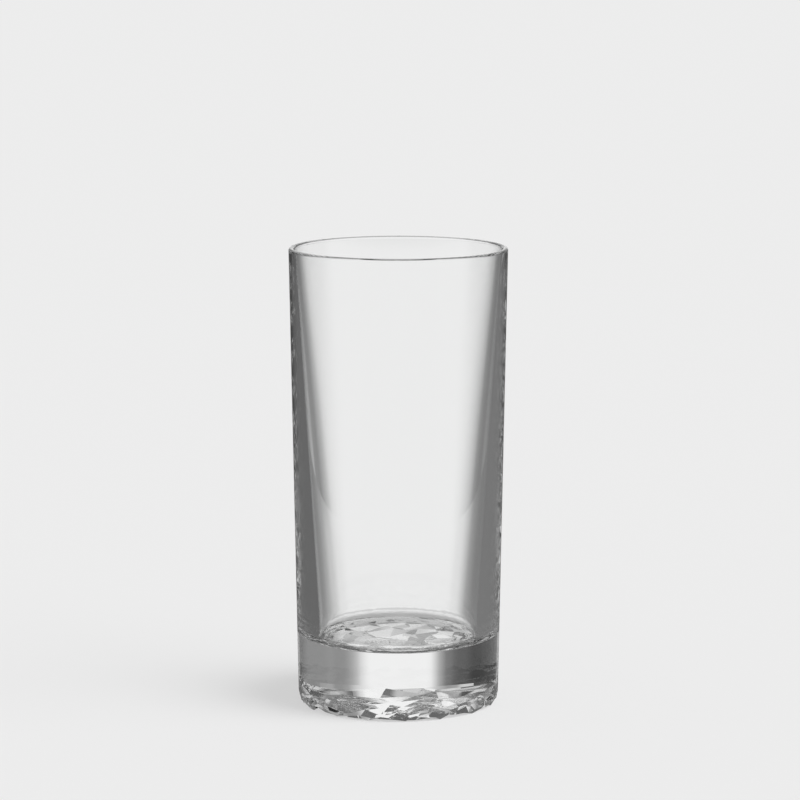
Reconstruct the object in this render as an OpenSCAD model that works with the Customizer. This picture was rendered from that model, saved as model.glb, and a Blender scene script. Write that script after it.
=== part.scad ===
/* [Outer form] */
// Height from the table to the top of the lip
height = 150; // [120:1:180]
// Outer diameter at the lip
lip_d = 71.2; // [62:0.2:84]
// Outer diameter at the foot
foot_d = 65.8; // [58:0.2:78]
// Small bevel round the bottom edge, left between the corner cuts
foot_bevel = 0.5; // [0.2:0.1:1]

/* [Bowl] */
// Wall at the lip
lip_wall = 1.85; // [1.4:0.05:3]
// Wall where the bowl meets its floor
floor_wall = 7.3; // [4:0.1:9]
// Solid glass under the middle of the bowl
base_h = 21.3; // [15:0.1:30]
// Radius of the corner between the bowl's side and its floor
floor_round = 3.2; // [1.5:0.1:6]

/* [Cut underside] */
// Depth of the deepest dimple in the underside
dimple_h = 2.4; // [1:0.1:4]
// Length of the longest dimple
dimple_l = 17.6; // [12:0.2:22]
// How far up the outside the tallest corner cut reaches
corner_h = 5.6; // [2:0.1:8]

/* [Hidden] */
$fn = 180;
lip_r = lip_d / 2;
foot_r = foot_d / 2;
bead_r = lip_wall / 2;
bead_z = height - bead_r;
overrun = 2;

// Outer radius at a height z
function outer_r(z) = foot_r + (lip_r - foot_r) * z / bead_z;
// Wall thickness at a height z, thick at the floor and thin at the lip
function wall_at(z) = floor_wall + (lip_wall - floor_wall) * (z - base_h) / (height - base_h);
// Radius of the bowl at a height z
function bowl_r(z) = outer_r(z) - wall_at(z);

// The four-sided dimples of the underside. Each has its direction, its distance from the middle as
// a share of the foot's radius, its length and width as shares of the longest length, its depth as a
// share of the deepest, how far its point leans as a share of half its length, and its own turn.
dimple_shares = [
    [359, 0.06, 1.00, 0.80, 0.90,  0.38,  36],
    [ 14, 0.37, 0.93, 0.73, 0.82,  0.32, -41],
    [ 82, 0.36, 0.87, 0.80, 0.99, -0.45,  33],
    [133, 0.32, 0.98, 0.73, 0.95,  0.38,  34],
    [198, 0.36, 0.93, 0.74, 0.88,  0.36,   5],
    [263, 0.32, 0.90, 0.76, 0.89, -0.23,  27],
    [317, 0.37, 0.91, 0.79, 0.97, -0.29,  43],
    [359, 0.63, 0.93, 0.64, 0.86, -0.51, -23],
    [ 32, 0.63, 0.97, 0.70, 0.73, -0.48, -49],
    [ 69, 0.64, 0.92, 0.59, 0.84, -0.37, -12],
    [101, 0.67, 0.80, 0.72, 0.97,  0.60, -48],
    [131, 0.67, 0.91, 0.66, 0.71, -0.29, -24],
    [171, 0.63, 0.85, 0.57, 0.73, -0.21, -13],
    [202, 0.62, 0.91, 0.71, 0.74,  0.27, -35],
    [238, 0.66, 0.84, 0.59, 0.91, -0.47, -11],
    [266, 0.61, 0.81, 0.58, 0.84,  0.30,  20],
    [296, 0.66, 0.91, 0.61, 0.75, -0.25,  -2],
    [333, 0.65, 0.81, 0.60, 0.96, -0.23,  -9],
    [  7, 0.90, 0.68, 0.53, 0.77, -0.34, 109],
    [ 33, 0.92, 0.76, 0.54, 0.54, -0.57,  89],
    [ 50, 0.91, 0.63, 0.54, 0.52, -0.49,  81],
    [ 76, 0.90, 0.73, 0.56, 0.75, -0.52, 110],
    [ 93, 0.92, 0.80, 0.58, 0.62, -0.55,  93],
    [116, 0.91, 0.74, 0.55, 0.52, -0.60, 108],
    [137, 0.91, 0.77, 0.54, 0.62, -0.41,  91],
    [156, 0.90, 0.62, 0.59, 0.53,  0.30,  67],
    [177, 0.92, 0.66, 0.48, 0.75,  0.40,  78],
    [199, 0.91, 0.75, 0.57, 0.71, -0.55,  84],
    [221, 0.91, 0.65, 0.53, 0.73, -0.48, 112],
    [241, 0.90, 0.71, 0.50, 0.56,  0.35,  91],
    [264, 0.92, 0.79, 0.55, 0.59, -0.31,  95],
    [285, 0.91, 0.69, 0.55, 0.66, -0.36,  75],
    [307, 0.91, 0.78, 0.57, 0.78, -0.38,  96],
    [328, 0.93, 0.81, 0.56, 0.56,  0.30, 100],
    [349, 0.92, 0.63, 0.49, 0.72, -0.36, 104],
];

// The corner cuts round the foot. Each has its direction, its height as a share of the tallest,
// and how steeply it slopes, in degrees.
corner_shares = [
    [  3, 0.62, 77],
    [ 19, 0.84, 79],
    [ 33, 0.48, 80],
    [ 48, 0.70, 76],
    [ 64, 0.40, 74],
    [ 80, 0.30, 74],
    [ 97, 0.34, 72],
    [113, 0.44, 75],
    [129, 0.74, 79],
    [144, 0.52, 77],
    [158, 0.86, 80],
    [174, 0.60, 76],
    [189, 0.92, 81],
    [203, 0.50, 77],
    [216, 0.86, 80],
    [230, 0.98, 82],
    [242, 0.60, 77],
    [253, 0.94, 81],
    [263, 0.56, 77],
    [274, 0.84, 81],
    [285, 0.50, 75],
    [297, 1.00, 80],
    [310, 0.62, 76],
    [323, 0.88, 82],
    [337, 0.54, 77],
    [350, 0.76, 80],
];

// Half the outline of the outside, from the table to the lip
module outer_outline() {
    polygon([
        [0, 0],
        [foot_r - foot_bevel, 0],
        [outer_r(foot_bevel), foot_bevel],
        [outer_r(bead_z), bead_z],
        [0, bead_z],
    ]);
}

// Half the outline of the bowl, with its round lower corner
module bowl_outline() {
    corner_z = base_h + floor_round;
    corner_x = bowl_r(corner_z) - floor_round;
    polygon([
        [0, base_h],
        [corner_x, base_h],
        [corner_x, corner_z],
        [bowl_r(corner_z), corner_z],
        [bowl_r(height + overrun), height + overrun],
        [0, height + overrun],
    ]);
    translate([corner_x, corner_z])
        circle(r = floor_round);
}

// The round bead that finishes the lip
module lip_bead() {
    rotate_extrude()
        translate([lip_r - bead_r, bead_z])
            circle(r = bead_r, $fn = 48);
}

// A four-sided pit with its point up, where two V-shaped bars cross
module dimple(turn, out_share, length_share, width_share, depth_share, lean_share, spin) {
    half_l = dimple_l * length_share / 2;
    half_w = dimple_l * width_share / 2;
    depth = dimple_h * depth_share;
    lean = half_l * lean_share;
    grow = (depth + overrun) / depth;
    rotate([0, 0, turn])
        translate([foot_r * out_share, 0, 0])
            rotate([0, 0, spin])
                intersection() {
                    rotate([90, 0, 0])
                        linear_extrude(height = 2 * (half_w * grow + overrun), center = true)
                            polygon([
                                [lean, depth],
                                [lean - (half_l + lean) * grow, -overrun],
                                [lean + (half_l - lean) * grow, -overrun],
                            ]);
                    translate([lean, 0, 0])
                        rotate([90, 0, 90])
                            linear_extrude(height = 4 * half_l * grow, center = true)
                                polygon([
                                    [0, depth],
                                    [-half_w * grow, -overrun],
                                    [half_w * grow, -overrun],
                                ]);
                }
}

// A flat cut that takes off part of the bottom corner
module corner_cut(turn, height_share, slope) {
    rotate([0, 0, turn])
        translate([foot_r, 0, corner_h * height_share])
            rotate([0, -slope, 0])
                translate([-foot_r, -foot_r, -foot_r])
                    cube([foot_d, foot_d, foot_r]);
}

// The whole glass, pressed in one piece
module tumbler() {
    color([0.93, 0.95, 0.95, 0.4])
        difference() {
            union() {
                rotate_extrude()
                    difference() {
                        outer_outline();
                        bowl_outline();
                    }
                lip_bead();
            }
            for (d = dimple_shares)
                dimple(d[0], d[1], d[2], d[3], d[4], d[5], d[6]);
            for (c = corner_shares)
                corner_cut(c[0], c[1], c[2]);
        }
}

tumbler();
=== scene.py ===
import bpy
import math
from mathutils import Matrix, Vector


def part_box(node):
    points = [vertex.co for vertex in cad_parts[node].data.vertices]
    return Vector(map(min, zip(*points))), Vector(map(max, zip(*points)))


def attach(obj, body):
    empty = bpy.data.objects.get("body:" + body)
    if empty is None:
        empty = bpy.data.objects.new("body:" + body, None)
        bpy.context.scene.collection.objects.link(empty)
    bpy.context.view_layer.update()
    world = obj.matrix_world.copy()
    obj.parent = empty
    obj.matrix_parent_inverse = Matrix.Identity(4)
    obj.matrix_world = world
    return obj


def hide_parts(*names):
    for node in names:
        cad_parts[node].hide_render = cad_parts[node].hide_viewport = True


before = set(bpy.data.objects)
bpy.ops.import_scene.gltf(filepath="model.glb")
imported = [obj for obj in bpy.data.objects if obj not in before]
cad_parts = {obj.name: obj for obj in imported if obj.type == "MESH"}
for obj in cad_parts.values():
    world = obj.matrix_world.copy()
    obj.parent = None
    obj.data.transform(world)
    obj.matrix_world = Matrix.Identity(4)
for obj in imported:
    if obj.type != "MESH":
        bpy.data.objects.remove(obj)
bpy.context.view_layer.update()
lowCorner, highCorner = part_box("tumbler")
glassHeight = highCorner.z
lipRadius = (highCorner.x - lowCorner.x) / 2


# camera: the photograph's view, a long lens a little above the glass
cameraSetup = {
    "lens": 147.85,  # mm
    "sensor": 36,  # mm
    "farthest": 60,
    "distance": 1.06,
    "height": 0.266,
    "aside": 0.00055,
    "pitch": 8.912,  # degrees below level
}


def placeCamera(setup):
    spot = (setup["aside"], -setup["distance"], setup["height"])
    turn = (math.radians(90 - setup["pitch"]), 0, 0)
    bpy.ops.object.camera_add(location=spot, rotation=turn)
    camera = bpy.context.object
    camera.data.lens = setup["lens"]
    camera.data.sensor_width = setup["sensor"]
    camera.data.clip_end = setup["farthest"]
    bpy.context.scene.camera = camera
    print("camera placed")


placeCamera(cameraSetup)


# small helpers for edit mode
def deselectAll():
    if bpy.context.object and bpy.context.object.mode != "OBJECT":
        bpy.ops.object.mode_set(mode="OBJECT")
    bpy.ops.object.select_all(action="DESELECT")


def makeActive(piece):
    deselectAll()
    piece.select_set(True)
    bpy.context.view_layer.objects.active = piece


def pickInEdit(piece, kind, wanted):  # kind is VERT, EDGE or FACE, and wanted a test of one of them
    bpy.ops.object.mode_set(mode="EDIT")
    bpy.ops.mesh.select_mode(type=kind)
    bpy.ops.mesh.select_all(action="DESELECT")
    bpy.ops.object.mode_set(mode="OBJECT")
    mesh = piece.data
    items = {"VERT": mesh.vertices, "EDGE": mesh.edges, "FACE": mesh.polygons}[kind]
    for item in items:
        item.select = wanted(item)
    bpy.ops.object.mode_set(mode="EDIT")


def applyModifiers(piece):
    makeActive(piece)
    for modifier in list(piece.modifiers):
        bpy.ops.object.modifier_apply(modifier=modifier.name)


# the tumbler: a block for the foot is cut first, then its wall is drawn up, over the lip and down
# into the bowl, ring by ring
tumblerPlan = {
    "segments": 320,
    "footRadius": 0.0329,
    "blockHeight": 0.0085,
    "lipWall": 0.00185,
    "floorWall": 0.0073,
    "baseHeight": 0.0213,
    "floorRound": 0.0032,
    "beadSteps": 64,
    "cornerSteps": 32,
    "wallSteps": 14,
    "floorShares": (0.8, 0.6, 0.4, 0.2),  # rings of the bowl's flat floor
    "smoothBelow": 3,  # degrees, so that only the round faces are shaded smooth
    "nearness": 0.00001,  # a ring counts as the block's top within this
}

cutPlan = {
    "dimpleDepth": 0.0024,
    "dimpleHalf": 0.0088,
    "cornerHeight": 0.0056,
    "overrun": 0.002,  # how far the dimples' flanks run on below the table plane
    "planeNearness": 1e-7,
    "pointNearness": 1e-6,
    # direction, distance out, length, width, depth, lean and turn of each four-sided dimple
    "dimples": [
        (359, 0.06, 1.00, 0.80, 0.90, 0.38, 36),
        (14, 0.37, 0.93, 0.73, 0.82, 0.32, -41),
        (82, 0.36, 0.87, 0.80, 0.99, -0.45, 33),
        (133, 0.32, 0.98, 0.73, 0.95, 0.38, 34),
        (198, 0.36, 0.93, 0.74, 0.88, 0.36, 5),
        (263, 0.32, 0.90, 0.76, 0.89, -0.23, 27),
        (317, 0.37, 0.91, 0.79, 0.97, -0.29, 43),
        (359, 0.63, 0.93, 0.64, 0.86, -0.51, -23),
        (32, 0.63, 0.97, 0.70, 0.73, -0.48, -49),
        (69, 0.64, 0.92, 0.59, 0.84, -0.37, -12),
        (101, 0.67, 0.80, 0.72, 0.97, 0.60, -48),
        (131, 0.67, 0.91, 0.66, 0.71, -0.29, -24),
        (171, 0.63, 0.85, 0.57, 0.73, -0.21, -13),
        (202, 0.62, 0.91, 0.71, 0.74, 0.27, -35),
        (238, 0.66, 0.84, 0.59, 0.91, -0.47, -11),
        (266, 0.61, 0.81, 0.58, 0.84, 0.30, 20),
        (296, 0.66, 0.91, 0.61, 0.75, -0.25, -2),
        (333, 0.65, 0.81, 0.60, 0.96, -0.23, -9),
        (7, 0.90, 0.68, 0.53, 0.77, -0.34, 109),
        (33, 0.92, 0.76, 0.54, 0.54, -0.57, 89),
        (50, 0.91, 0.63, 0.54, 0.52, -0.49, 81),
        (76, 0.90, 0.73, 0.56, 0.75, -0.52, 110),
        (93, 0.92, 0.80, 0.58, 0.62, -0.55, 93),
        (116, 0.91, 0.74, 0.55, 0.52, -0.60, 108),
        (137, 0.91, 0.77, 0.54, 0.62, -0.41, 91),
        (156, 0.90, 0.62, 0.59, 0.53, 0.30, 67),
        (177, 0.92, 0.66, 0.48, 0.75, 0.40, 78),
        (199, 0.91, 0.75, 0.57, 0.71, -0.55, 84),
        (221, 0.91, 0.65, 0.53, 0.73, -0.48, 112),
        (241, 0.90, 0.71, 0.50, 0.56, 0.35, 91),
        (264, 0.92, 0.79, 0.55, 0.59, -0.31, 95),
        (285, 0.91, 0.69, 0.55, 0.66, -0.36, 75),
        (307, 0.91, 0.78, 0.57, 0.78, -0.38, 96),
        (328, 0.93, 0.81, 0.56, 0.56, 0.30, 100),
        (349, 0.92, 0.63, 0.49, 0.72, -0.36, 104),
    ],
    # direction, height and slope of each corner cut
    "corners": [
        (3, 0.62, 77), (19, 0.84, 79), (33, 0.48, 80), (48, 0.70, 76), (64, 0.40, 74),
        (80, 0.30, 74), (97, 0.34, 72), (113, 0.44, 75), (129, 0.74, 79), (144, 0.52, 77),
        (158, 0.86, 80), (174, 0.60, 76), (189, 0.92, 81), (203, 0.50, 77), (216, 0.86, 80),
        (230, 0.98, 82), (242, 0.60, 77), (253, 0.94, 81), (263, 0.56, 77), (274, 0.84, 81),
        (285, 0.50, 75), (297, 1.00, 80), (310, 0.62, 76), (323, 0.88, 82), (337, 0.54, 77),
        (350, 0.76, 80),
    ],
}


def outerRadius(z):
    plan = tumblerPlan
    beadZ = glassHeight - plan["lipWall"] / 2
    return plan["footRadius"] + (lipRadius - plan["footRadius"]) * z / beadZ


def bowlRadius(z):
    plan = tumblerPlan
    share = (z - plan["baseHeight"]) / (glassHeight - plan["baseHeight"])
    wall = plan["floorWall"] + (plan["lipWall"] - plan["floorWall"]) * share
    return outerRadius(z) - wall


def footBlock():
    plan = tumblerPlan
    tall = plan["blockHeight"]
    bpy.ops.mesh.primitive_cylinder_add(
        vertices=plan["segments"], radius=plan["footRadius"], depth=tall, location=(0, 0, tall / 2)
    )
    block = bpy.context.object
    block.name = "tumbler_glass"
    bpy.ops.object.transform_apply(location=True, rotation=True, scale=True)
    pickInEdit(block, "VERT", lambda v: v.co.z > tall / 2)
    wider = outerRadius(tall) / plan["footRadius"]
    bpy.ops.transform.resize(value=(wider, wider, 1), center_override=(0, 0, 0))
    bpy.ops.object.mode_set(mode="OBJECT")
    return block


def cutCorners(block):
    for turn, share, slope in cutPlan["corners"]:
        around = math.radians(turn)
        steep = math.radians(slope)
        point = Vector((math.cos(around), math.sin(around), 0)) * tumblerPlan["footRadius"]
        point.z = cutPlan["cornerHeight"] * share
        outwards = Vector((math.cos(around), math.sin(around), 0)) * math.sin(steep)
        outwards.z = -math.cos(steep)
        makeActive(block)
        bpy.ops.object.mode_set(mode="EDIT")
        bpy.ops.mesh.select_all(action="SELECT")
        bpy.ops.mesh.bisect(
            plane_co=point, plane_no=outwards, use_fill=True, clear_outer=True,
            threshold=cutPlan["planeNearness"],
        )
        bpy.ops.object.mode_set(mode="OBJECT")


def dimpleCutter(turn, out, length, width, depth, lean, spin):
    deep = cutPlan["dimpleDepth"] * depth
    long = cutPlan["dimpleHalf"] * length
    wide = cutPlan["dimpleHalf"] * width
    bpy.ops.mesh.primitive_cube_add(size=2)
    cutter = bpy.context.object
    cutter.scale = (long, wide, deep / 2)
    cutter.location = (0, 0, deep / 2)
    bpy.ops.object.transform_apply(location=True, rotation=True, scale=True)
    pickInEdit(cutter, "VERT", lambda v: v.co.z > deep / 2)
    bpy.ops.transform.resize(value=(0, 0, 1), center_override=(0, 0, 0))
    bpy.ops.transform.translate(value=(long * lean, 0, 0))
    bpy.ops.mesh.remove_doubles(threshold=cutPlan["pointNearness"])
    grow = (deep + cutPlan["overrun"]) / deep
    bpy.ops.mesh.select_all(action="SELECT")
    bpy.ops.transform.resize(value=(grow, grow, grow), center_override=(long * lean, 0, deep))
    bpy.ops.object.mode_set(mode="OBJECT")
    around = math.radians(turn)
    aside = tumblerPlan["footRadius"] * out
    cutter.rotation_euler = (0, 0, around + math.radians(spin))
    cutter.location = (aside * math.cos(around), aside * math.sin(around), 0)
    bpy.ops.object.transform_apply(location=True, rotation=True, scale=True)
    return cutter


def cutDimples(block):
    for row in cutPlan["dimples"]:
        cutter = dimpleCutter(*row)
        makeActive(block)
        cut = block.modifiers.new("dimple", "BOOLEAN")
        cut.operation = "DIFFERENCE"
        cut.solver = "EXACT"
        cut.object = cutter
        applyModifiers(block)
        bpy.data.objects.remove(cutter)


def wallRings():
    plan = tumblerPlan
    rings = []
    start = plan["blockHeight"]
    bead = plan["lipWall"] / 2
    beadZ = glassHeight - bead
    for k in range(1, plan["wallSteps"] + 1):
        z = start + (beadZ - start) * k / plan["wallSteps"]
        rings.append((outerRadius(z), z))
    for k in range(1, plan["beadSteps"]):
        angle = math.pi * k / plan["beadSteps"]
        rings.append((lipRadius - bead + bead * math.cos(angle), beadZ + bead * math.sin(angle)))
    cornerZ = plan["baseHeight"] + plan["floorRound"]
    for k in range(plan["wallSteps"] + 1):
        z = beadZ + (cornerZ - beadZ) * k / plan["wallSteps"]
        rings.append((bowlRadius(z), z))
    cornerX = bowlRadius(cornerZ) - plan["floorRound"]
    for k in range(1, plan["cornerSteps"] + 1):
        angle = math.pi / 2 * k / plan["cornerSteps"]
        rings.append((
            cornerX + plan["floorRound"] * math.cos(angle),
            cornerZ - plan["floorRound"] * math.sin(angle),
        ))
    for share in plan["floorShares"]:
        rings.append((cornerX * share, plan["baseHeight"]))
    return rings


def drawWall(block):
    top = tumblerPlan["blockHeight"]
    level = top - tumblerPlan["nearness"]
    pickInEdit(block, "FACE", lambda f: f.center.z > level)
    bpy.ops.mesh.delete(type="ONLY_FACE")
    bpy.ops.object.mode_set(mode="OBJECT")
    corners = block.data.vertices
    pickInEdit(block, "EDGE", lambda e: min(corners[i].co.z for i in e.vertices) > level)
    lastRadius, lastZ = outerRadius(top), top
    for radius, z in wallRings():
        bpy.ops.mesh.extrude_edges_move(TRANSFORM_OT_translate={"value": (0, 0, z - lastZ)})
        wider = radius / lastRadius
        bpy.ops.transform.resize(value=(wider, wider, 1), center_override=(0, 0, 0))
        lastRadius, lastZ = radius, z
    bpy.ops.mesh.merge(type="CENTER")
    bpy.ops.mesh.select_all(action="SELECT")
    bpy.ops.mesh.normals_make_consistent(inside=False)
    bpy.ops.object.mode_set(mode="OBJECT")


def makeTumbler():
    block = footBlock()
    cutCorners(block)
    cutDimples(block)
    print("foot cut:", len(block.data.polygons), "faces")
    drawWall(block)
    makeActive(block)
    bpy.ops.object.shade_smooth_by_angle(angle=math.radians(tumblerPlan["smoothBelow"]))
    print("tumbler drawn:", len(block.data.polygons), "faces")
    return block


tumbler = makeTumbler()
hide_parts("tumbler")
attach(tumbler, "root")


# materials: node maths written as plain sums
class Shade:
    def __init__(self, socket):
        self.socket = socket

    def maths(self, operation, *values):
        tree = self.socket.id_data
        node = tree.nodes.new("ShaderNodeMath")
        node.operation = operation
        for place, value in enumerate(values):
            plug(node.inputs[place], value)
        return Shade(node.outputs[0])

    def output(self, name):
        return Shade(self.socket.node.outputs[name])

    def __add__(self, other):
        return self.maths("ADD", self, other)

    def __radd__(self, other):
        return self.maths("ADD", other, self)

    def __sub__(self, other):
        return self.maths("SUBTRACT", self, other)

    def __rsub__(self, other):
        return self.maths("SUBTRACT", other, self)

    def __mul__(self, other):
        return self.maths("MULTIPLY", self, other)

    def __rmul__(self, other):
        return self.maths("MULTIPLY", other, self)

    def __truediv__(self, other):
        return self.maths("DIVIDE", self, other)

    def __gt__(self, other):
        return self.maths("GREATER_THAN", self, other)

    def __abs__(self):
        return self.maths("ABSOLUTE", self)


def plug(socket, value):
    if isinstance(value, Shade):
        socket.id_data.links.new(value.socket, socket)
    else:
        socket.default_value = value


class Finish:  # the node tree of a material or a world
    def __init__(self, owner):
        owner.use_nodes = True
        self.tree = owner.node_tree
        self.tree.nodes.clear()

    def add(self, kind, settings=None, values=None):
        node = self.tree.nodes.new("ShaderNode" + kind)
        for name, value in (settings or {}).items():
            setattr(node, name, value)
        for name, value in (values or {}).items():
            plug(node.inputs[name], value)
        return Shade(node.outputs[0]) if len(node.outputs) else None

    def rise(self, value, low, high):  # 0 below low and 1 above high, with a soft step between
        return self.add(
            "MapRange",
            {"interpolation_type": "SMOOTHSTEP"},
            {"Value": value, "From Min": low, "From Max": high},
        )


glassFinish = {
    "tint": (0.988, 0.990, 0.989, 1),
    "ior": 1.52,
    "roughness": (0.004, 0.016),
    "smudges": 60,  # noise scale, per metre
    "waves": (42, 42, 7),  # noise scales of the slow waviness of pressed glass, drawn out upwards
    "waveDetail": 2.0,
    "waveRise": 0.00002,
    "grain": 450,  # noise scale of the underside's fine relief, which lies below the bowl only
    "grainDetail": 3.0,
    "grainTwist": 0.6,
    "grainRise": 0.00015,
    "grainBelow": (0.0030, 0.0046),
    "grainWithin": (0.012, 0.019),
    "streaks": (6, 700),  # scales of the ripples round the bowl's lower corner, along and across it
    "streakDetail": 2.0,
    "streakRise": 0.00012,
    "streakAbove": (0.0208, 0.0214),
    "streakBelow": (0.0240, 0.0256),
    "streakFrom": (0.0205, 0.0235),
    "streakWithin": (0.0268, 0.0280),
    "clearFrom": (0.012, 0.036),  # heights between which the shadow gets light
    "clearShares": (0.2, 0.96),  # light that the thick base and the thin wall let through
}


def clearGlass(finish):
    material = bpy.data.materials.new("clear_glass")
    nodes = Finish(material)
    place = nodes.add("TexCoord").output("Object")
    height = nodes.add("SeparateXYZ", values={"Vector": place}).output("Z")
    stretched = nodes.add("Mapping", values={"Vector": place, "Scale": finish["waves"]})
    waves = nodes.add("TexNoise", values={
        "Vector": stretched, "Scale": 1.0, "Detail": finish["waveDetail"],
    })
    grain = nodes.add("TexNoise", values={
        "Vector": place,
        "Scale": finish["grain"],
        "Detail": finish["grainDetail"],
        "Distortion": finish["grainTwist"],
    })
    flat = nodes.add("VectorMath", {"operation": "MULTIPLY"}, {0: place, 1: (1, 1, 0)})
    out = nodes.add("VectorMath", {"operation": "LENGTH"}, {0: flat}).output("Value")
    foot = 1 - nodes.rise(height, *finish["grainBelow"])
    foot = foot * (1 - nodes.rise(out, *finish["grainWithin"]))
    along, across = finish["streaks"]
    ring = nodes.add("VectorMath", {"operation": "NORMALIZE"}, {0: flat})
    ways = nodes.add("SeparateXYZ", values={"Vector": ring})
    streaks = nodes.add("TexNoise", values={
        "Vector": nodes.add("CombineXYZ", values={
            "X": ways.output("X") * along,
            "Y": ways.output("Y") * along,
            "Z": (height + out) * across,
        }),
        "Scale": 1.0,
        "Detail": finish["streakDetail"],
    })
    corner = nodes.rise(height, *finish["streakAbove"])
    corner = corner * (1 - nodes.rise(height, *finish["streakBelow"]))
    corner = corner * nodes.rise(out, *finish["streakFrom"])
    corner = corner * (1 - nodes.rise(out, *finish["streakWithin"]))
    relief = waves * finish["waveRise"] + grain * foot * finish["grainRise"]
    relief = relief + streaks * corner * finish["streakRise"]
    bump = nodes.add("Bump", values={"Strength": 1.0, "Distance": 1.0, "Height": relief})
    smudges = nodes.add("TexNoise", values={"Vector": place, "Scale": finish["smudges"]})
    smooth, worn = finish["roughness"]
    glass = nodes.add("BsdfPrincipled", values={
        "Base Color": finish["tint"],
        "Roughness": smooth + (worn - smooth) * smudges,
        "IOR": finish["ior"],
        "Transmission Weight": 1.0,
        "Normal": bump,
    })
    thick, thin = finish["clearShares"]
    through = thick + (thin - thick) * nodes.rise(height, *finish["clearFrom"])
    shadow = nodes.add("LightPath").output("Is Shadow Ray")
    empty = nodes.add("BsdfTransparent")
    surface = nodes.add("MixShader", values={0: shadow * through, 1: glass, 2: empty})
    nodes.add("OutputMaterial", values={"Surface": surface})
    return material


tumbler.data.materials.clear()
tumbler.data.materials.append(clearGlass(glassFinish))


# surroundings: a pale table before a pale backdrop, a dim room at both sides, a softbox above.
# Angles are in degrees, upwards from level or round from straight ahead. Between the two of a pair
# one tone gives way to the next, and the rows of a list are an angle and a brightness or a share.
studioPlan = {
    "pale": 0.843,  # table and backdrop as the camera sees them
    "ambient": 0.3,
    "lamp": 0.7,
    "once": 0.5,  # ray depths over which light was turned once, and more than twice
    "often": 2.5,
    "sides": (-0.2, 0.1),  # from the room's left side to its right, as the direction's x
    # straight through the glass
    "window": 0.97,
    "overLip": 0.90,
    "lipAngles": (-6.75, -6.45),
    "through": 0.925,  # share kept beside the faint mirror images of the room on every wall
    "behind": 135,  # where the backdrop also lies, apart from straight ahead and at both sides
    "corner": -45,  # where it lies for steep light, instead of those
    "lowAngles": (-22, -19),
    "mirrorAside": 60,  # degrees that low mirrored light is moved out of the backdrop
    "mirrorAngles": (-2, 6),
    "slantFrom": -7,
    "slant": 0.85,
    "slantMost": 7,
    "dimFrom": (8, 14),
    "fade": [
        (0, 1.0), (3.8, 1.0), (5, 0.97), (6, 0.91), (6.8, 0.83), (7.5, 0.71), (8.3, 0.59),
        (9.3, 0.465), (10.3, 0.36), (11.5, 0.29), (13, 0.27), (17, 0.31), (23, 0.40),
        (32, 0.46), (45, 0.36), (60, 0.25),
    ],
    # the same as fitted to the photograph's view, from left to right: through the thick base, and
    # through the wall from its middle down to the bowl's floor
    "base": [
        (-80, 0.05), (-38, 0.045), (-35, 0.06), (-27, 0.075), (-24.4, 0.105), (-22.4, 0.15),
        (-20.1, 0.18), (-18.5, 0.29), (-16.7, 0.43), (-14.9, 0.68), (-13, 0.92), (-11, 0.97),
        (11, 0.97), (12.3, 0.92), (13.4, 0.86), (15.1, 0.73), (16.8, 0.54), (18.9, 0.40),
        (21.2, 0.31), (23.4, 0.26), (27.6, 0.25), (33, 0.28), (48, 0.27), (55, 0.26),
        (61, 0.20), (74, 0.10), (80, 0.09),
    ],
    "middle": [
        (-80, 0.3), (-45, 0.5), (-30, 0.70), (-25, 0.50), (-21.2, 0.33), (-17.7, 0.37),
        (-15.3, 0.47), (-13.6, 0.60), (-12.1, 0.82), (-10.9, 0.895), (-9.6, 0.95), (-8, 0.97),
        (8, 0.97), (9, 0.92), (10.9, 0.87), (12.3, 0.72), (13.9, 0.57), (16, 0.34),
        (18.7, 0.27), (22.7, 0.24), (27, 0.36), (36, 0.32), (80, 0.2),
    ],
    "bottom": [
        (-80, 0.3), (-45, 0.5), (-36, 0.60), (-32, 0.48), (-28, 0.33), (-25, 0.34),
        (-22, 0.38), (-20, 0.45), (-18.5, 0.47), (-17.2, 0.54), (-16.4, 0.58), (-15.2, 0.67),
        (-13.5, 0.70), (-12, 0.80), (-11, 0.88), (-9.5, 0.90), (-8, 0.95), (8, 0.95),
        (9.6, 0.88), (10.9, 0.87), (12.1, 0.78), (13.3, 0.66), (14.7, 0.54), (15.5, 0.44),
        (17, 0.37), (19, 0.33), (22.5, 0.27), (28, 0.26), (36, 0.28), (80, 0.2),
    ],
    "baseTo": (-13.6, -13.3),  # heights where one gives way to the next
    "middleTo": (-15.2, -14.2),
    "below": [  # share of them by height; the fall downwards is painted shade of the table near and under the glass
        (-90, 0.45), (-52, 0.47), (-44, 0.50), (-38, 0.61), (-31, 0.87), (-26, 1.0), (0, 1.0),
    ],
    "frontWithin": (24, 30),  # the directions of that view, for steep light and for the rest
    "frontWithinAbove": (70, 78),
    "frontAbove": (-20, -18.5),
    "rightLoss": 0.4,
    "roomLeft": 0.14,
    "roomRight": 0.195,
    "glow": 0.4,
    "glowWithin": (2, 38),
    "glowAbove": (-11, -8.5),
    "wall": 0.63,  # the room behind the camera
    "wallFrom": (85, 100),
    "softbox": [(0, 0.95), (40, 0.95), (65, 0.62), (90, 0.36), (110, 0.22), (180, 0.22)],
    "softboxAbove": (28, 40),
    "strips": [  # share of the softbox by height, as the cut underside mirrors it
        (0, 0.25), (37, 0.25), (39, 1.05), (44, 1.05), (45, 0.30), (49, 0.25), (50.5, 1.05),
        (58, 1.05), (60, 0.35), (90, 0.35),
    ],
    "stripsRight": 0.5,
    # the table as light through the glass and off it finds it: darker than the pale table, painted
    # shade of the glass on it
    "tableBelow": 0.53,
    "tableMirrored": 0.11,
    "tableTo": (-38, -31),
    "spent": 0.09,  # light turned more than twice inside the glass
}


def angleFrom(azimuth, centre):  # degrees between an azimuth and a centre line, the shorter way
    return abs((azimuth - centre).maths("WRAP", azimuth - centre, 180, -180))


def mix(low, high, share):  # low where share is 0 and high where it is 1
    return low + (high - low) * share


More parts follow.
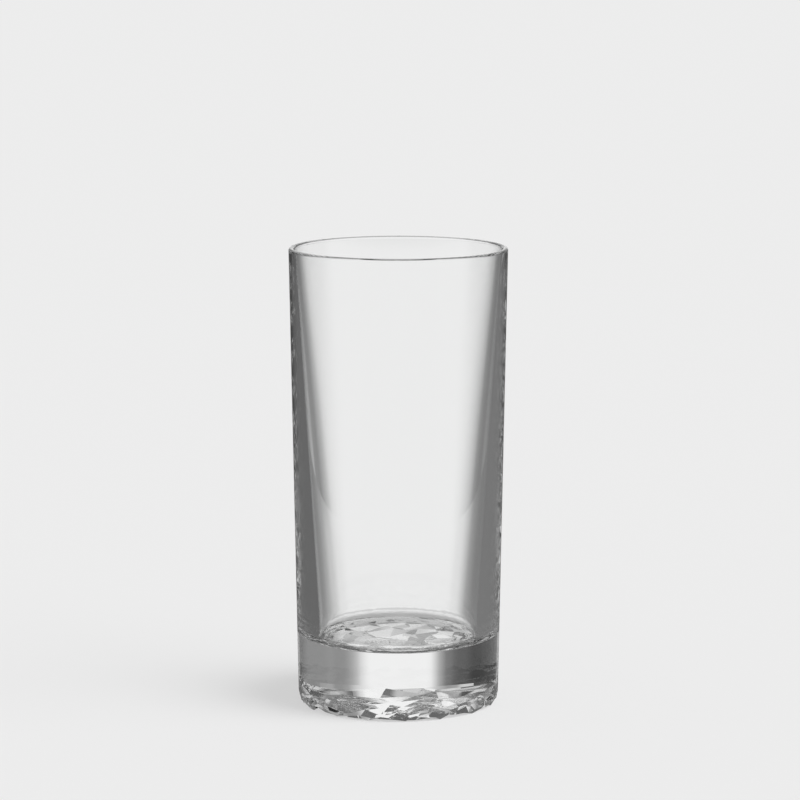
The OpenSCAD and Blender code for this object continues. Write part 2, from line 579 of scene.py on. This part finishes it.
def rampOf(nodes, value, rows):  # a curve through rows of value and level
    first, reach = rows[0][0], rows[-1][0] - rows[0][0]
    node = nodes.tree.nodes.new("ShaderNodeValToRGB")
    ramp = node.color_ramp
    stops = [ramp.elements[0]]
    stops += [ramp.elements.new((row[0] - first) / reach) for row in rows[1:-1]]
    stops.append(ramp.elements[-1])
    for stop, row in zip(stops, rows):
        stop.color = (row[1], row[1], row[1], 1)
    plug(node.inputs["Fac"], (value - first) / reach)
    return Shade(node.outputs["Color"])


def makeWorld(plan):
    world = bpy.data.worlds.new("studio")
    bpy.context.scene.world = world
    nodes = Finish(world)
    path = nodes.add("LightPath")
    camera = path.output("Is Camera Ray")
    lens = path.output("Is Transmission Ray").maths(
        "MAXIMUM", path.output("Is Transmission Ray"), path.output("Is Glossy Ray")
    ) * (1 - (path.output("Diffuse Depth") > plan["once"]))
    mirrored = path.output("Glossy Depth") > plan["once"]
    parts = nodes.add("SeparateXYZ", values={"Vector": nodes.add("TexCoord")})
    x, y, z = (parts.output(name) for name in "XYZ")
    azimuth = x.maths("ARCTAN2", x, y) * math.degrees(1)
    rising = z.maths("ARCSINE", z) * math.degrees(1)
    ahead = angleFrom(azimuth, 0)
    left = 1 - nodes.rise(x, *plan["sides"])
    # straight through the glass: the pale backdrop, from each of four sides and from behind
    crosswise = angleFrom(azimuth * 4, 0) / 4
    behind = angleFrom(azimuth, plan["behind"])
    nearest = crosswise.maths("MINIMUM", crosswise, behind)
    corner = angleFrom(azimuth, plan["corner"])
    lowest = corner.maths("MINIMUM", corner, behind)
    away = mix(nearest, lowest, 1 - nodes.rise(rising, *plan["lowAngles"]))
    aside = plan["mirrorAside"] * (1 - nodes.rise(rising, *plan["mirrorAngles"]))
    away = mix(away, ahead + aside, mirrored)
    slant = (plan["slantFrom"] - rising) * plan["slant"]
    slant = slant.maths("MAXIMUM", slant, 0)
    away = away - slant.maths("MINIMUM", slant, plan["slantMost"])
    dim = nodes.rise(away, *plan["dimFrom"])
    level = mix(plan["window"], plan["overLip"], nodes.rise(rising, *plan["lipAngles"]))
    seen = rampOf(nodes, away, plan["fade"]) * level
    seen = seen * (1 - (1 - left) * dim * plan["rightLoss"])
    # the table below, darker than the camera sees it: painted shade of the glass on it
    table = mix(plan["tableBelow"], plan["tableMirrored"], mirrored)
    downwards = 1 - nodes.rise(rising, *plan["tableTo"])
    seen = mix(seen, table, downwards)
    # the same as fitted to the photograph's view
    middle, bottom = rampOf(nodes, azimuth, plan["middle"]), rampOf(nodes, azimuth, plan["bottom"])
    front = mix(bottom, middle, nodes.rise(rising, *plan["middleTo"]))
    front = mix(front, rampOf(nodes, azimuth, plan["base"]), nodes.rise(rising, *plan["baseTo"]))
    # darker downwards: painted shade of the table under the glass
    front = front * rampOf(nodes, rising, plan["below"])
    near = 1 - nodes.rise(ahead, *plan["frontWithin"])
    nearAbove = 1 - nodes.rise(ahead, *plan["frontWithinAbove"])
    near = mix(near, nearAbove, nodes.rise(rising, *plan["frontAbove"]))
    seen = mix(seen, front, near * (1 - mirrored))
    seen = seen * mix(plan["through"], 1, mirrored)
    # mirrored: the room at both sides with a soft glow ahead, the table in painted shade, the wall
    # and the softbox
    room = mix(plan["roomLeft"], plan["roomRight"], 1 - left)
    glow = (1 - nodes.rise(ahead, *plan["glowWithin"])) * nodes.rise(rising, *plan["glowAbove"])
    room = room + plan["glow"] * glow
    seen = mix(seen, room, mirrored * dim)
    seen = mix(seen, table, downwards * mirrored)
    seen = mix(seen, plan["spent"], path.output("Glossy Depth") > plan["often"])
    seen = mix(seen, plan["wall"], nodes.rise(ahead, *plan["wallFrom"]) * mirrored)
    strips = rampOf(nodes, rising, plan["strips"]) * mix(plan["stripsRight"], 1, left)
    softbox = rampOf(nodes, ahead, plan["softbox"]) * mix(1, strips, mirrored)
    seen = mix(seen, softbox, nodes.rise(rising, *plan["softboxAbove"]))
    value = mix(plan["ambient"], seen, lens)
    value = mix(value, plan["pale"], camera)
    back = nodes.add("Background", values={"Color": (1, 1, 1, 1), "Strength": value})
    nodes.add("OutputWorld", values={"Surface": back})
    print("world lit")


makeWorld(studioPlan)


# cards behind the glass, seen only through it or off it. The high one lies above the line where the
# thick base is looked through. Both give a brightness across and a share of it upwards.
cardPlan = {
    "behind": 0.5,
    "halfWidth": 0.33,
    "bottom": -0.068,
    "top": 0.58,
    "across": [
        (-0.33, 0.60), (-0.30, 0.68), (-0.26, 0.68), (-0.235, 0.60), (-0.215, 0.36),
        (-0.175, 0.32), (-0.152, 0.47), (-0.136, 0.60), (-0.119, 0.83), (-0.108, 0.90),
        (-0.097, 0.95), (-0.08, 0.97), (0.08, 0.97), (0.095, 0.93), (0.105, 0.86),
        (0.118, 0.76), (0.129, 0.67), (0.138, 0.58), (0.150, 0.44), (0.16, 0.34),
        (0.185, 0.27), (0.215, 0.26), (0.235, 0.36), (0.26, 0.38), (0.33, 0.34),
    ],
    "upwards": [
        (-0.07, 1.0), (0.072, 1.0), (0.080, 0.96), (0.0834, 0.91), (0.0885, 0.81),
        (0.10, 0.86), (0.13, 0.93), (0.58, 0.97),
    ],
    "sides": (-0.02, 0.02),
    "mirrorFrom": (0.10, 0.16),  # heights above which it is mirrored instead of the room's sides
}

# the low one is a darker strip, which the round lip picks up
stripPlan = {
    "behind": 0.5,
    "halfWidth": 0.16,
    "bottom": -0.205,
    "top": -0.14,
    "across": [(-0.16, 0.50), (-0.10, 0.70), (0.10, 0.70), (0.16, 0.46)],
    "upwards": [(-0.205, 1.0), (-0.14, 1.0)],
    "sides": (-0.02, 0.02),
    "mirrorFrom": (0.10, 0.16),
}


def cardFinish(plan, studio):
    material = bpy.data.materials.new("backdrop")
    nodes = Finish(material)
    parts = nodes.add("SeparateXYZ", values={"Vector": nodes.add("TexCoord").output("Object")})
    x, z = parts.output("X"), parts.output("Z")
    level = rampOf(nodes, x, plan["across"]) * rampOf(nodes, z, plan["upwards"])
    path = nodes.add("LightPath")
    mirrored = path.output("Glossy Depth") > studio["once"]
    level = level * mix(studio["through"], 1, mirrored)
    side = mix(studio["roomLeft"], studio["roomRight"], nodes.rise(x, *plan["sides"]))
    level = mix(level, side, mirrored * (1 - nodes.rise(z, *plan["mirrorFrom"])))
    level = mix(level, studio["spent"], path.output("Glossy Depth") > studio["often"])
    level = mix(level, studio["ambient"], path.output("Diffuse Depth") > studio["once"])
    shine = nodes.add("Emission", values={"Color": level, "Strength": 1.0})
    nodes.add("OutputMaterial", values={"Surface": shine})
    return material


def makeCard(plan, studio):
    tall = plan["top"] - plan["bottom"]
    middle = (0, plan["behind"], plan["bottom"] + tall / 2)
    bpy.ops.mesh.primitive_plane_add(size=1, rotation=(math.radians(90), 0, 0), location=middle)
    card = bpy.context.object
    card.name = "backdrop"
    card.scale = (2 * plan["halfWidth"], tall, 1)
    bpy.ops.object.transform_apply(location=True, rotation=True, scale=True)
    card.data.materials.append(cardFinish(plan, studio))
    card.visible_camera = False
    card.visible_diffuse = False
    card.visible_shadow = False


makeCard(cardPlan, studioPlan)
makeCard(stripPlan, studioPlan)


tablePlan = {
    "radius": 20,
    "segments": 96,
    "litTo": (0.7, 1.1),  # beyond this distance the table is one even tone, as the backdrop is
    "evenShare": 0.63,  # light from all round that the glass hardly stops
}


def tableFinish(plan, pale):
    material = bpy.data.materials.new("table")
    nodes = Finish(material)
    parts = nodes.add("SeparateXYZ", values={"Vector": nodes.add("TexCoord").output("Object")})
    flat = nodes.add("CombineXYZ", values={"X": parts.output("X"), "Y": parts.output("Y")})
    out = nodes.add("VectorMath", {"operation": "LENGTH"}, {0: flat}).output("Value")
    lit = nodes.add("BsdfDiffuse", values={"Color": (pale, pale, pale, 1)})
    even = nodes.add("Emission", values={"Color": (1, 1, 1, 1), "Strength": pale})
    share = mix(plan["evenShare"], 1, nodes.rise(out, *plan["litTo"]))
    surface = nodes.add("MixShader", values={0: share, 1: lit, 2: even})
    nodes.add("OutputMaterial", values={"Surface": surface})
    return material


def makeTable(plan, pale):
    bpy.ops.mesh.primitive_circle_add(
        vertices=plan["segments"], radius=plan["radius"], fill_type="NGON"
    )
    table = bpy.context.object
    table.name = "table"
    table.data.materials.append(tableFinish(plan, pale))
    table.visible_transmission = False
    table.visible_glossy = False


makeTable(tablePlan, studioPlan["pale"])

lampPlan = {
    "towards": (1, -0.40, 0.90),
    "spread": 46,  # degrees, a large soft source
}


def addLamp(plan, share):
    way = Vector(plan["towards"]).normalized()
    bpy.ops.object.light_add(type="SUN", rotation=way.to_track_quat("Z", "Y").to_euler())
    lamp = bpy.context.object
    lamp.data.energy = share * math.pi / way.z
    lamp.data.angle = math.radians(plan["spread"])
    lamp.visible_glossy = False
    lamp.visible_transmission = False


addLamp(lampPlan, studioPlan["lamp"])

bounces = 40  # light crosses the base many times between the cuts
scene = bpy.context.scene
scene.view_settings.view_transform = "Standard"
scene.cycles.max_bounces = bounces
scene.cycles.transmission_bounces = bounces
scene.cycles.glossy_bounces = bounces
scene.cycles.caustics_refractive = True
scene.cycles.caustics_reflective = True
